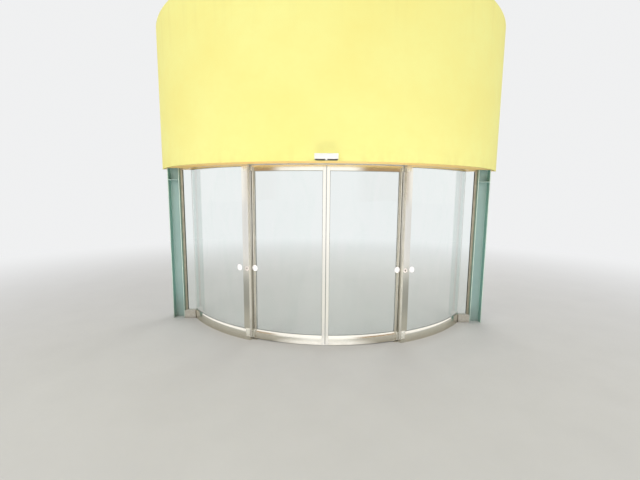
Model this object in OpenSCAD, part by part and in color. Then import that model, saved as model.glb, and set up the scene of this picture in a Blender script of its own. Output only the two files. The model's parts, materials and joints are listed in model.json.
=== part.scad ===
// Curved automatic sliding door under a round fascia drum.
// Two curved glass leaves slide on one circle behind two fixed curved sidelights.
// Steel posts, a curved header and a deep painted drum stand on the same centre line.
// Units are millimetres, +Z is up, the outside of the curve looks along -Y.

/* [Curve and door height] */

// radius of the outer face of the fixed sidelight frame
side_r = 2123; // [1600:1:2800]
// clear height from the floor to the soffit
soffit_z = 1950; // [1800:1:2600]
// angle from the centre line to the inner edge of the sidelight stile
door_half_angle = 23.4; // [15:0.01:32]
// angle each leaf travels when it opens
leaf_travel = 21.5; // [10:0.1:28]

/* [Fascia drum] */

// height of the drum above the soffit
fascia_h = 1750; // [300:1:2600]
// thickness of the rendered outer skin
skin_t = 20; // [10:1:60]
// thickness of the inner lining
lining_t = 20; // [9:1:40]
// gap between the sidelight face and the inner lining
lining_gap = 17; // [5:1:60]
// thickness of the soffit, coping and end boards
board_t = 15; // [9:1:40]
// room inside the drum on each side of the posts
post_room = 37.5; // [35:0.5:150]
// distance from the back of the posts to the wall plane that ends the drum
wall_gap = 109; // [60:1:300]

/* [Posts and ring beam] */

// overall width and depth of the steel H section
post_w = 150; // [100:1:200]
// flange thickness of the H section
flange_t = 10; // [6:1:20]
// web thickness of the H section
web_t = 7; // [5:1:15]
// root radius between web and flange
root_r = 8; // [4:1:16]
// angle from the centre line to the middle of each post
post_angle = 58.6; // [52:0.1:62]
// distance from the soffit down to the stiffener plates
stiffener_drop = 149; // [60:1:400]
// gap cut in the soffit board around each post
post_gap = 3; // [2:0.5:15]

/* [Sidelights] */

// depth of the sidelight frame
side_d = 40; // [30:1:70]
// height of the sidelight base rail
base_rail_h = 122; // [60:1:180]
// height of the sidelight head channel
head_channel_h = 18; // [16:1:60]
// face width of the sidelight stile
side_stile_w = 54; // [30:1:120]
// face width of the glazing bead beside the sidelight stile
side_bead_w = 30; // [20:1:60]
// width of the straight infill between the curve and the post
infill_w = 143; // [80:1:300]
// height of the stone block beside the post
block_h = 103; // [60:1:180]
// depth of the stone block
block_d = 80; // [60:1:140]
// face width of the jamb channel at the post
jamb_w = 30; // [20:1:60]
// depth of the jamb channel
jamb_d = 40; // [24:1:70]

/* [Glazing] */

// thickness of all glass
glass_t = 10; // [6:1:20]
// depth that the glass sits in its grooves
glass_bite = 12; // [6:1:14]
// play on each side of the glass in its grooves
glass_play = 0.3; // [0.2:0.1:1]
// how far the glazing beads lie behind the stile faces
bead_recess = 6; // [2:1:10]
// height of the sloped shoulder along the top of each rail
rail_slope = 24; // [8:1:45]
// width of the flat land on each side of the glass
rail_land = 3; // [2:0.5:8]

/* [Leaves] */

// clearance between the leaf and the back of the sidelight frame
leaf_clear = 23; // [10:1:60]
// depth of the leaf frame
leaf_d = 40; // [30:1:60]
// gap between the two closed leaves
meeting_gap = 6; // [5:0.5:20]
// gap between the floor and the leaf
floor_gap = 10; // [9:1:25]
// gap between the leaf and the soffit
head_gap = 6; // [5:1:25]
// face width of the meeting stile
meeting_stile_w = 33; // [20:1:70]
// face width of the rear stile
rear_stile_w = 46; // [30:1:120]
// face width of the glazing bead beside the rear stile
rear_bead_w = 24; // [20:1:60]
// how far the rear stile starts inside the edge of the sidelight stile
leaf_lap = 15; // [5:1:40]
// top of the leaf bottom rail above the floor
leaf_base_z = 112; // [80:1:220]
// height of the leaf top rail
leaf_top_rail_h = 60; // [30:1:140]

/* [Corner shoes and floor guide] */

// height of the polished shoes at the foot of the stiles
shoe_h = 92; // [40:1:160]
// height of the polished shoes at the top of the stiles
top_shoe_h = 60; // [30:1:160]
// how far the shoes stand proud of the stile faces
shoe_proud = 3; // [1:0.5:4]
// height of the sidelight shoe above the floor
side_shoe_z = 45; // [0:1:80]
// gap between the sidelight top shoe and the soffit
side_shoe_drop = 8; // [0:1:30]
// gap between the leaf shoe and the lower edge of the leaf
leaf_shoe_lift = 2; // [0:1:10]
// thickness of the guide plate on the floor
guide_plate_t = 4; // [3:0.5:5]
// thickness of the guide fin
fin_t = 6; // [4:1:10]
// height of the fin tip above the floor
fin_z = 28; // [20:1:40]
// clearance between the fin and its groove
fin_clear = 5.5; // [3:0.5:8]

/* [Header and track] */

// sheet thickness of the header
header_t = 6; // [3:0.5:10]
// height of the track shelf above the soffit
track_rise = 70; // [50:1:140]
// thickness of the track shelf
track_t = 8; // [5:1:15]
// height of the lip that fixes the track to the header
track_lip_h = 30; // [20:1:60]
// width of the running bead on top of the track
bead_w = 8; // [6:1:14]
// height of the running bead
bead_h = 6; // [4:1:10]
// clear height over the rollers
head_room = 31.5; // [10:0.5:80]
// clearance between the hanger plates and the edges of the header slot
slot_side = 24; // [10:1:40]
// width of the inner lip of the header
lip_w = 16; // [8:1:40]
// angle by which the header runs past the open leaf
header_over = 7.2; // [2:0.1:9]

/* [Roller carriages] */

// radius of the hanger rollers
roller_r = 24; // [15:1:40]
// width of the hanger rollers
roller_w = 20; // [18:1:30]
// depth of the groove in the rollers
groove_d = 3; // [2:0.5:5]
// running clearance of the rollers on the track
roller_clear = 0.5; // [0.3:0.1:1]
// distance between the two rollers of one carriage
roller_pitch = 56; // [50:1:90]
// thickness of the hanger plates
hanger_t = 8; // [5:1:12]
// length of the hanger plates
hanger_w = 90; // [70:1:140]
// width of the foot that is bolted to the leaf
foot_w = 34; // [24:1:40]
// angle from the leaf edges to the middle of each carriage
carriage_inset = 4; // [3:0.1:8]

/* [Sensor] */

// width of the motion sensor
sensor_w = 223; // [120:1:320]
// height of the motion sensor housing
sensor_h = 56; // [30:1:100]
// depth of the motion sensor
sensor_d = 42; // [20:1:80]
// height of the sensor above the soffit
sensor_rise = 10; // [7:1:80]
// height of the dark lens strip under the sensor
lens_h = 7; // [4:0.5:7]
// rounding of the front corners of the sensor
sensor_corner = 10; // [4:1:18]

/* [Hidden] */

// fine facets for the large arcs, coarse ones for small round parts
$fn = 360;
small_fn = 48;
// the small gap left where one piece is bedded against another
seat_gap = 0.3;
deg = 180 / PI;
top_z = soffit_z + fascia_h;
// radii, from the leaves out to the drum skin
side_back = side_r - side_d;
side_mid = side_r - side_d / 2;
leaf_r = side_back - leaf_clear;
leaf_back = leaf_r - leaf_d;
leaf_mid = leaf_r - leaf_d / 2;
lining_r = side_r + lining_gap;
lining_out = lining_r + lining_t;
// half the depth of the ring: room for the post, and a strip of board left outside its hole
post_hole = post_w + 2 * post_gap;
hole_reach = post_hole / 2 * (sin(post_angle) + cos(post_angle)) + board_t / 3;
ring_half = max(post_room + post_w / 2, hole_reach);
ring_mid = lining_out + ring_half;
skin_in = ring_mid + ring_half;
fascia_r = skin_in + skin_t;
// posts, wall plane and straight infill
post_x = ring_mid * sin(post_angle);
post_y = -ring_mid * cos(post_angle);
post_edge = post_x - post_w / 2;
post_front = post_y - post_w / 2;
wall_cut = -(post_y + post_w / 2 + wall_gap);
infill_x = post_edge - infill_w;
infill_y = -sqrt(side_mid * side_mid - infill_x * infill_x);
jamb_x = post_edge - jamb_w;
// the origin is the middle of the bounding box on the floor, so the drum centre lies behind it
axis_y = (fascia_r + sensor_d + wall_cut) / 2;
beam_z = soffit_z + board_t + seat_gap;
side_end = 62;
drum_end = 75;
// angles of the sidelight stile and of the leaf frame
side_stile_end = door_half_angle + side_stile_w / side_r * deg;
side_bead_end = side_stile_end + side_bead_w / side_r * deg;
meeting_a0 = meeting_gap / 2 / leaf_mid * deg;
meeting_a1 = meeting_a0 + meeting_stile_w / leaf_mid * deg;
rear_a0 = door_half_angle - leaf_lap / leaf_mid * deg;
rear_a1 = rear_a0 + rear_stile_w / leaf_mid * deg;
rear_bead_a0 = rear_a0 - rear_bead_w / leaf_mid * deg;
leaf_top = soffit_z - head_gap;
leaf_glass_top = leaf_top - leaf_top_rail_h;
side_glass_top = soffit_z - head_channel_h;
// header and track
header_r = lining_r - seat_gap;
header_in = leaf_mid - hanger_t / 2 - slot_side - lip_w - header_t;
header_half = rear_a1 + leaf_travel + header_over;
track_z = soffit_z + track_rise;
bead_z = track_z + track_t + bead_h;
axle_z = bead_z + roller_clear + roller_r - groove_d;
header_top = axle_z + roller_r + head_room;
// the bead is drawn 2 wide for every 3 high on its sloped sides
bead_slope = 2 / 3;
axle_r = 6;
roller_mid = hanger_t / 2 + 12 + roller_w / 2;

yellow = [0.98, 0.86, 0.42];
render_grey = [0.78, 0.76, 0.72];
green = [0.30, 0.47, 0.40];
stainless = [0.78, 0.78, 0.76];
polished = [0.90, 0.90, 0.89];
glass_tint = [0.80, 0.90, 0.88, 0.30];
stone = [0.70, 0.68, 0.62];
dark = [0.12, 0.13, 0.13];
white = [0.93, 0.93, 0.91];

// Shapes that many pieces share

// sweeps a section around the drum centre; angles run from the centre line
module sweep(r, a0, a1) {
    rotate([0, 0, a0 - 90])
        rotate_extrude(angle = a1 - a0)
            translate([r, 0])
                children();
}

// a plain bar bent around the drum centre
module arc_bar(r0, r1, z0, z1, a0, a1) {
    sweep(r0, a0, a1)
        translate([0, z0])
            square([r1 - r0, z1 - z0]);
}

// moves a shape drawn around the drum centre into the part's own frame
module place() {
    translate([0, axis_y, 0])
        children();
}

// the right-hand piece of a pair, or its mirror image on the left
module side(right) {
    place()
        mirror([right ? 0 : 1, 0, 0])
            children();
}

// keeps what lies in front of a plane parallel to the wall
module ahead_of(distance) {
    difference() {
        children();
        translate([-fascia_r - 10, -distance, soffit_z - 10])
            cube([2 * fascia_r + 20, fascia_r, fascia_h + 20]);
    }
}

// a ring of the drum, cut flush at the wall plane
module drum_ring(r0, r1, z0, z1) {
    place()
        ahead_of(wall_cut)
            arc_bar(r0, r1, z0, z1, -drum_end, drum_end);
}

// section of a rail: upright faces, sloped shoulders and a flat land beside the glass
module rail_section(d, h, slope) {
    flat = glass_t / 2 + glass_play + rail_land;
    polygon([
        [-d / 2, 0], [d / 2, 0], [d / 2, h - slope], [flat, h], [-flat, h], [-d / 2, h - slope]
    ]);
}

// section of the H bar, with rounded roots and its web across the Y axis
module h_section() {
    pocket = post_w - 2 * flange_t;
    reach = (post_w - web_t) / 2;
    difference() {
        square([post_w, post_w], center = true);
        for (s = [-1, 1])
            scale([1, s]) {
                translate([-pocket / 2, web_t / 2 + root_r])
                    square([pocket, reach]);
                translate([-pocket / 2 + root_r, web_t / 2])
                    square([pocket - 2 * root_r, reach]);
                for (x = [-1, 1])
                    translate([x * (pocket / 2 - root_r), web_t / 2 + root_r])
                        circle(root_r, $fn = small_fn);
            }
    }
}

// Fascia drum

module fascia_skin() {
    color(yellow)
        drum_ring(skin_in, fascia_r, soffit_z, top_z);
}

module fascia_lining() {
    color(render_grey)
        drum_ring(lining_r, lining_out, soffit_z + board_t, top_z - board_t);
}

module fascia_soffit() {
    color(yellow)
        difference() {
            drum_ring(lining_r, skin_in, soffit_z, soffit_z + board_t);
            for (s = [-1, 1])
                place()
                    translate([s * post_x - post_hole / 2, post_y - post_hole / 2, soffit_z - 1])
                        cube([post_hole, post_hole, board_t + 2]);
        }
}

module fascia_coping() {
    color(render_grey)
        drum_ring(lining_r, skin_in, top_z - board_t, top_z);
}

module fascia_end(right) {
    color(yellow)
        side(right)
            intersection() {
                arc_bar(lining_out + seat_gap, skin_in - seat_gap, soffit_z + board_t + seat_gap,
                        top_z - board_t - seat_gap, 45, drum_end);
                translate([0, -wall_cut - board_t, soffit_z])
                    cube([fascia_r, board_t, fascia_h]);
            }
}

// Steel frame

module ring_beam() {
    color(green)
        place()
            ahead_of(wall_cut + board_t + seat_gap)
                sweep(ring_mid, -drum_end, drum_end)
                    translate([0, beam_z + post_w / 2])
                        beam_section();
}

// the same H bar laid on its side, drawn with square roots inside the closed drum
module beam_section() {
    difference() {
        square([post_w, post_w], center = true);
        for (s = [-1, 1])
            translate([s * (post_w + web_t) / 2, 0])
                square([post_w, post_w - 2 * flange_t], center = true);
    }
}

module post(right) {
    color(green)
        side(right)
            translate([post_x, post_y, 0]) {
                linear_extrude(beam_z)
                    h_section();
                translate([-post_w / 2 + 1, -post_w / 2, soffit_z - stiffener_drop])
                    cube([post_w - 2, post_w, flange_t]);
            }
}

// Header with the curved track

module header_case() {
    wall_in = header_r - header_t;
    slot_out = leaf_mid + hanger_t / 2 + slot_side;
    color(stainless)
        place() {
            arc_bar(wall_in, header_r, soffit_z, header_top + header_t, -header_half, header_half);
            arc_bar(header_in, header_r, header_top, header_top + header_t, -header_half, header_half);
            arc_bar(slot_out, header_r, soffit_z, soffit_z + header_t, -header_half, header_half);
        }
}

module header_cover() {
    wall_out = header_in + header_t;
    color(stainless)
        place() {
            arc_bar(header_in, wall_out, soffit_z, header_top - seat_gap, -header_half, header_half);
            arc_bar(header_in, wall_out + lip_w, soffit_z, soffit_z + header_t, -header_half, header_half);
        }
}

// an L-shaped shelf with a raised running bead along its inner edge
module track_rail() {
    wall = header_r - header_t - seat_gap;
    mid = leaf_mid + roller_mid;
    foot = bead_w / 2 + bead_h * bead_slope;
    color(polished)
        place()
            sweep(0, -header_half, header_half)
                translate([0, track_z])
                    polygon([
                        [mid - foot, 0], [wall, 0], [wall, track_lip_h], [wall - track_t, track_lip_h],
                        [wall - track_t, track_t], [mid + foot, track_t],
                        [mid + bead_w / 2, track_t + bead_h], [mid - bead_w / 2, track_t + bead_h],
                        [mid - foot, track_t]
                    ]);
}

// Straight infill beside the post

module base_block(right) {
    color(stone)
        side(right)
            translate([infill_x, post_front, 0])
                cube([infill_w, block_d, block_h]);
}

// the straight pane, or the groove cut for it when it is grown by the play
module infill_pane(grow) {
    translate([infill_x - grow, infill_y - glass_t / 2 - grow, block_h])
        cube([jamb_x - infill_x + glass_bite + 2 * grow, glass_t + 2 * grow,
              side_glass_top + glass_bite + grow - block_h]);
}

module infill_glass(right) {
    color(glass_tint)
        side(right)
            infill_pane(0);
}

module jamb_channel(right) {
    color(dark)
        side(right)
            difference() {
                translate([jamb_x, infill_y - jamb_d / 2, block_h])
                    cube([jamb_w, jamb_d, soffit_z - block_h]);
                infill_pane(glass_play);
            }
}

// Fixed curved sidelights

// cuts a curved sidelight piece square where it meets the straight infill
module to_infill() {
    difference() {
        children();
        translate([infill_x, -side_r - 10, -10])
            cube([side_r, side_r, soffit_z + 20]);
    }
}

// the curved pane, or the groove cut for it when it is grown by the play
module side_pane(grow) {
    bite = glass_bite + grow;
    arc_bar(side_mid - glass_t / 2 - grow, side_mid + glass_t / 2 + grow,
            base_rail_h - bite, side_glass_top + bite,
            side_bead_end - bite / side_mid * deg, side_end);
}

module sidelight_glass(right) {
    color(glass_tint)
        side(right)
            to_infill()
                side_pane(0);
}

module sidelight_stile(right) {
    shoe_r = side_r + shoe_proud;
    shoe_top = soffit_z - side_shoe_drop;
    color(stainless)
        side(right)
            difference() {
                union() {
                    arc_bar(side_back, side_r, 0, soffit_z, door_half_angle, side_stile_end);
                    arc_bar(side_back + bead_recess, side_r - bead_recess, base_rail_h, side_glass_top,
                            side_stile_end - 0.2, side_bead_end);
                    arc_bar(side_mid, shoe_r, side_shoe_z, side_shoe_z + shoe_h, door_half_angle, side_stile_end);
                    arc_bar(side_mid, shoe_r, shoe_top - top_shoe_h, shoe_top, door_half_angle, side_stile_end);
                }
                side_pane(glass_play);
            }
}

module sidelight_base_rail(right) {
    color(stainless)
        side(right)
            difference() {
                to_infill()
                    sweep(side_mid, side_stile_end, side_end)
                        rail_section(side_d, base_rail_h, rail_slope);
                side_pane(glass_play);
            }
}

module sidelight_head_channel(right) {
    color(stainless)
        side(right)
            difference() {
                union() {
                    to_infill()
                        arc_bar(side_back, side_r, side_glass_top, soffit_z, side_stile_end, side_end);
                    translate([infill_x - 5, infill_y - side_d / 2 + 8, side_glass_top])
                        cube([jamb_x - infill_x + 5, side_d - 16, head_channel_h]);
                }
                side_pane(glass_play);
                infill_pane(glass_play);
            }
}

// a plate on the floor with a small fin that steers the foot of the leaf
module floor_guide(right) {
    plate_in = leaf_mid - fin_t - 9;
    color(stainless)
        side(right) {
            arc_bar(plate_in, side_back - seat_gap, 0, guide_plate_t,
                    door_half_angle - 1.5, door_half_angle + 1.3);
            arc_bar(leaf_mid - fin_t / 2, leaf_mid + fin_t / 2, guide_plate_t / 2, fin_z,
                    door_half_angle + 0.3, door_half_angle + 1.2);
        }
}

// Motion sensor

module sensor_block(w, d, z0, z1, r) {
    place()
        difference() {
            translate([0, -fascia_r - d, z0])
                linear_extrude(z1 - z0)
                    union() {
                        translate([-w / 2, r])
                            square([w, d]);
                        translate([-w / 2 + r, 0])
                            square([w - 2 * r, d]);
                        for (s = [-1, 1])
                            translate([s * (w / 2 - r), r])
                                circle(r, $fn = small_fn);
                    }
            translate([0, 0, z0 - 1])
                cylinder(h = z1 - z0 + 2, r = fascia_r + seat_gap, $fn = 1440);
        }
}

module sensor_housing() {
    z0 = soffit_z + sensor_rise;
    color(white)
        sensor_block(sensor_w, sensor_d, z0, z0 + sensor_h, sensor_corner);
}

module sensor_lens() {
    z1 = soffit_z + sensor_rise;
    color(dark)
        sensor_block(sensor_w - 16, sensor_d - 6, z1 - lens_h, z1, sensor_corner - 2);
}

// Sliding leaves

// the leaf pane, or the groove cut for it when it is grown by the play
module leaf_pane(grow) {
    bite = glass_bite + grow;
    lap = bite / leaf_mid * deg;
    arc_bar(leaf_mid - glass_t / 2 - grow, leaf_mid + glass_t / 2 + grow,
            leaf_base_z - bite, leaf_glass_top + bite, meeting_a1 - lap, rear_bead_a0 + lap);
}

// the groove under the leaf that the floor fin runs in
module fin_groove() {
    half = fin_t / 2 + fin_clear;
    arc_bar(leaf_mid - half, leaf_mid + half, floor_gap - 1, fin_z + 2 * fin_clear,
            meeting_a1 + 0.4, rear_a1 + 0.5);
}

module leaf_glass(right) {
    color(glass_tint)
        side(right)
            leaf_pane(0);
}

module leaf_meeting_stile(right) {
    color(stainless)
        side(right)
            difference() {
                arc_bar(leaf_back, leaf_r, floor_gap, leaf_top, meeting_a0, meeting_a1);
                leaf_pane(glass_play);
            }
}

module leaf_rear_stile(right) {
    shoe_r = leaf_r + shoe_proud;
    shoe_z = floor_gap + leaf_shoe_lift;
    color(stainless)
        side(right)
            difference() {
                union() {
                    arc_bar(leaf_back, leaf_r, floor_gap, leaf_top, rear_a0, rear_a1);
                    arc_bar(leaf_back + bead_recess, leaf_r - bead_recess, leaf_base_z, leaf_glass_top,
                            rear_bead_a0, rear_a0 + 0.2);
                    arc_bar(leaf_mid, shoe_r, shoe_z, shoe_z + shoe_h, rear_a0, rear_a1);
                    arc_bar(leaf_mid, shoe_r, leaf_top - top_shoe_h, leaf_top, rear_a0, rear_a1);
                }
                leaf_pane(glass_play);
                fin_groove();
            }
}

module leaf_top_rail(right) {
    color(stainless)
        side(right)
            difference() {
                arc_bar(leaf_back, leaf_r, leaf_glass_top, leaf_top, meeting_a1, rear_a0);
                leaf_pane(glass_play);
            }
}

module leaf_bottom_rail(right) {
    color(stainless)
        side(right)
            difference() {
                sweep(leaf_mid, meeting_a1, rear_a0)
                    translate([0, floor_gap])
                        rail_section(leaf_d, leaf_base_z - floor_gap, rail_slope);
                leaf_pane(glass_play);
                fin_groove();
            }
}

// half section of a grooved roller, turned about its axle
module roller() {
    groove = bead_w / 2 + roller_clear;
    rim = groove + groove_d * bead_slope;
    half = roller_w / 2;
    rotate_extrude($fn = small_fn)
        polygon([
            [0, -half], [roller_r, -half], [roller_r, -rim], [roller_r - groove_d, -groove],
            [roller_r - groove_d, groove], [roller_r, rim], [roller_r, half], [0, half]
        ]);
}

// a carriage: a foot on the leaf, an upright plate, and two grooved rollers on their axles
module carriage() {
    plate_top = axle_z + roller_r / 2;
    translate([-hanger_w / 2, -foot_w / 2, leaf_top])
        cube([hanger_w, foot_w, hanger_t]);
    translate([-hanger_w / 2, -hanger_t / 2, leaf_top])
        cube([hanger_w, hanger_t, plate_top - leaf_top]);
    for (s = [-1, 1])
        translate([s * roller_pitch / 2, 0, axle_z])
            rotate([90, 0, 0]) {
                translate([0, 0, -hanger_t / 2 - 6])
                    cylinder(h = roller_mid + roller_w / 2 + hanger_t / 2 + 10, r = axle_r, $fn = small_fn);
                translate([0, 0, roller_mid])
                    roller();
            }
}

module leaf_hangers(right) {
    color(polished)
        side(right)
            for (a = [carriage_inset, rear_a0 - carriage_inset])
                rotate([0, 0, a])
                    translate([0, -leaf_mid, 0])
                        carriage();
}

fascia_skin();
fascia_lining();
fascia_soffit();
fascia_coping();
fascia_end(false);  // fascia_end_left
fascia_end(true);  // fascia_end_right
ring_beam();
header_case();
header_cover();
track_rail();
post(false);  // post_left
post(true);  // post_right
base_block(false);  // base_block_left
base_block(true);  // base_block_right
jamb_channel(false);  // jamb_channel_left
jamb_channel(true);  // jamb_channel_right
infill_glass(false);  // infill_glass_left
infill_glass(true);  // infill_glass_right
sidelight_glass(false);  // sidelight_glass_left
sidelight_glass(true);  // sidelight_glass_right
sidelight_stile(false);  // sidelight_stile_left
sidelight_stile(true);  // sidelight_stile_right
sidelight_base_rail(false);  // sidelight_base_rail_left
sidelight_base_rail(true);  // sidelight_base_rail_right
sidelight_head_channel(false);  // sidelight_head_channel_left
sidelight_head_channel(true);  // sidelight_head_channel_right
floor_guide(false);  // floor_guide_left
floor_guide(true);  // floor_guide_right
sensor_housing();
sensor_lens();
leaf_glass(false);  // leaf_glass_left
leaf_glass(true);  // leaf_glass_right
leaf_meeting_stile(false);  // leaf_meeting_stile_left
leaf_meeting_stile(true);  // leaf_meeting_stile_right
leaf_rear_stile(false);  // leaf_rear_stile_left
leaf_rear_stile(true);  // leaf_rear_stile_right
leaf_top_rail(false);  // leaf_top_rail_left
leaf_top_rail(true);  // leaf_top_rail_right
leaf_bottom_rail(false);  // leaf_bottom_rail_left
leaf_bottom_rail(true);  // leaf_bottom_rail_right
leaf_hangers(false);  // leaf_hangers_left
leaf_hangers(true);  // leaf_hangers_right
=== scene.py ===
# %% [markdown]
# # A curved sliding door under a round drum
# Two curved glass leaves slide apart on one circle, behind two fixed curved panes.
# A deep yellow drum hangs over them, and two green steel posts stand where the curve ends.
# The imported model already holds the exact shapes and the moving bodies.
# This lesson adds what such a model leaves out: finishes, seals, screws, soft edges and light.

# %% Load the measured model
import json
import math
import random

import bmesh
import bpy
import numpy as np
from mathutils import Matrix, Vector

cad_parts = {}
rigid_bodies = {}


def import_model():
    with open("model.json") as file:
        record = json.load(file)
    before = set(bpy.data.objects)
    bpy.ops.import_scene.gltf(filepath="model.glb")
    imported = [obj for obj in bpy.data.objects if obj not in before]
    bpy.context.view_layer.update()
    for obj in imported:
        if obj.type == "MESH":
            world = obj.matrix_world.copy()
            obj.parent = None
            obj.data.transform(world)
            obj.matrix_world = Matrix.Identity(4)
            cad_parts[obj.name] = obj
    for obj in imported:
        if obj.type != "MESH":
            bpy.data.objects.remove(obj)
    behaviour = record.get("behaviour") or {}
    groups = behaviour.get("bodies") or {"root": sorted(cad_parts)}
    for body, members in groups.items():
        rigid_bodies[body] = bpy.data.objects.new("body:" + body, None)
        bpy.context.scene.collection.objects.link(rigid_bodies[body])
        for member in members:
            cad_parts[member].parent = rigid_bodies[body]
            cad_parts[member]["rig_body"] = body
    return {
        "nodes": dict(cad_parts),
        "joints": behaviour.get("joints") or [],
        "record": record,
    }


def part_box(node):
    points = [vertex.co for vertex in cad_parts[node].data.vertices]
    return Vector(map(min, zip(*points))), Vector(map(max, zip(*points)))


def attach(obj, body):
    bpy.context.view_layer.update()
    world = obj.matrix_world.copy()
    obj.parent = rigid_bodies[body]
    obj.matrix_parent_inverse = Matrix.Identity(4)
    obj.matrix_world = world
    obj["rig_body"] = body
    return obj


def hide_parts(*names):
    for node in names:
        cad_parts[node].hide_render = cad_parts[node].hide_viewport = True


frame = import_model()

random.seed(11)
nodes = frame["nodes"]
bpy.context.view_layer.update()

# %% [markdown]
# ## The camera
# The photograph was taken with a wide lens a little above chest height, straight in front of the door.
# Three small turns and one position describe it: how far it looks down, how far it turns, how far it leans.
# The focal length is given for a sensor 36 mm wide, so it stays right whatever the render size is.

# %% Set up the camera
sensor_width = 36.0
photo_width, focal_pixels = 640, 359.1
look_down, turn_right, lean = (math.radians(v) for v in (7.476, -1.459, -0.450))
camera_place = Vector((0.033, -4.0735, 1.656))


def put_in_scene(name, data):
    """makes an object of a mesh, a lamp or a camera"""
    made = bpy.data.objects.new(name, data)
    bpy.context.scene.collection.objects.link(made)
    return made


forward = Vector((
    math.sin(turn_right) * math.cos(look_down),
    math.cos(turn_right) * math.cos(look_down),
    -math.sin(look_down),
))
level = Vector((math.cos(turn_right), -math.sin(turn_right), 0.0))
under = forward.cross(level)
to_right = level * math.cos(lean) + under * math.sin(lean)
to_bottom = under * math.cos(lean) - level * math.sin(lean)

camera_data = bpy.data.cameras.new("camera")
camera_data.sensor_width = sensor_width
camera_data.lens = sensor_width * focal_pixels / photo_width
camera = put_in_scene("camera", camera_data)
camera.matrix_world = Matrix.Translation(camera_place) @ Matrix(
    (to_right, -to_bottom, -forward)
).transposed().to_4x4()
bpy.context.scene.camera = camera
print("lens", round(camera_data.lens, 2), "mm")

# %% [markdown]
# ## Places on the curve
# The drum, the rails and the leaves all follow circles about one upright axis, the drum centre.
# A piece that is described by angle, radius and height about that axis lands on the curve with no fitting.
# The joints of the model turn about the same axis, so its place is read from there.

# %% Measure around the drum centre
axis_y = frame["joints"][0]["pos_m"][1]
sides = (("left", -1), ("right", 1))
up = Vector((0, 0, 1))

side_face, side_glass, side_inside = 2.123, 2.103, 2.083
leaf_face, leaf_glass, leaf_inside = 2.060, 2.040, 2.020
half_glass = 0.005
drum_face, skin_inside, lining_face = 2.405, 2.385, 2.140
soffit_z, drum_top = 1.950, 3.700
glass_corner_x = 1.7217


def on_curve(angle, radius, height):
    """a point at an angle in degrees from the centre line, positive to the right"""
    a = math.radians(angle)
    return Vector((radius * math.sin(a), axis_y - radius * math.cos(a), height))


def outward_at(angle):
    """the direction in which a surface on the curve faces"""
    return on_curve(angle, 1, 0) - on_curve(angle, 0, 0)


def ways_at(angle):
    """one step outward and one step sideways at an angle"""
    a = math.radians(angle)
    return Vector((math.sin(a), -math.cos(a), 0)), Vector((math.cos(a), math.sin(a), 0))


def along_curve(angle, radius, sideways):
    """the angle that lies a distance sideways of another angle, at one radius"""
    return angle + math.degrees(sideways / radius)


print("drum centre lies", round(axis_y, 4), "m behind the origin")

# %% [markdown]
# ## Helpers for meshes
# Most added pieces are one small outline that runs along the curve, stands upright or turns about a line.
# Each time the outline is repeated as a ring of points, and the same faces close the rings to a tube.
# Each helper returns plain points and faces, so that several runs can be joined into one piece.
# Every finished piece then rides on a body of the model and names the finish it belongs to.

# %% Helpers for meshes
def tube_faces(size, rings):
    """the walls and the two ends of a tube that is made of rings of points"""
    faces = [
        (i * size + j, i * size + (j + 1) % size, (i + 1) * size + (j + 1) % size, (i + 1) * size + j)
        for i in range(rings - 1)
        for j in range(size)
    ]
    return faces + [tuple(range(size)), tuple(range((rings - 1) * size, rings * size))]


def run_along(outline, start, end):
    """sweeps an outline of (radius, height) points around the drum centre, with a ring each degree"""
    count = max(2, math.ceil(abs(end - start)) + 1)
    points = [on_curve(a, r, z) for a in np.linspace(start, end, count) for r, z in outline]
    return points, tube_faces(len(outline), count)


def stacked(levels):
    """joins plan outlines at rising heights into one closed shell"""
    points = [(x, y, z) for outline, z in levels for x, y in outline]
    return points, tube_faces(len(levels[0][0]), len(levels))


def stand_up(outline, low, high, rows=2):
    """raises a plan outline of (x, y) points between two heights"""
    return stacked([(outline, z) for z in np.linspace(low, high, rows)])


def plan_on_curve(angle, radius, outline):
    """turns (outward, sideways) points at a place on the curve into plan points"""
    outward, sideways = ways_at(angle)
    centre = on_curve(angle, radius, 0)
    return [tuple(centre + outward * o + sideways * s)[:2] for o, s in outline]


def lathe(place, outward, outline, segments=24, turn=0.0):
    """turns a profile of (radius, height) points about a line that leaves a surface"""
    outward = outward.normalized()
    across = outward.orthogonal().normalized()
    other = outward.cross(across)
    points = []
    for radius, height in outline:
        for k in range(segments):
            a = turn + 2 * math.pi * k / segments
            spoke = across * math.cos(a) + other * math.sin(a)
            points.append(place + outward * height + spoke * radius)
    return points, tube_faces(segments, len(outline))


def two_sided(faces, rim, size):
    """a thin sheet: its front, its back that lies size points on, and the strip round the rim"""
    back = [tuple(i + size for i in face) for face in faces]
    return faces + back + [(a, b, b + size, a + size) for a, b in zip(rim, rim[1:] + rim[:1])]


def shape_of(work):
    """the points and faces of a mesh that was edited, which is then let go"""
    work.verts.index_update()
    points = [v.co.copy() for v in work.verts]
    faces = [[v.index for v in face.verts] for face in work.faces]
    work.free()
    return points, faces


def joined(parts):
    """puts several lists of points and faces into one"""
    points, faces = [], []
    for part_points, part_faces in parts:
        shift = len(points)
        points += part_points
        faces += [tuple(i + shift for i in f) for f in part_faces]
    return points, faces


def make_piece(name, shape, finish, body, sharp=40, stands_for=()):
    """builds the mesh, gives it its finish and lets it ride on its body"""
    mesh = bpy.data.meshes.new(name)
    points, faces = shape
    mesh.from_pydata([tuple(p) for p in points], [], faces)
    work = bmesh.new()
    work.from_mesh(mesh)
    bmesh.ops.recalc_face_normals(work, faces=work.faces)
    work.to_mesh(mesh)
    work.free()
    mesh.shade_smooth()
    mesh.set_sharp_from_angle(angle=math.radians(sharp))
    mesh.materials.append(finish)
    piece = put_in_scene(name, mesh)
    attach(piece, body)
    if stands_for:
        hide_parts(*stands_for)
    return piece


print("mesh helpers ready")

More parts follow.
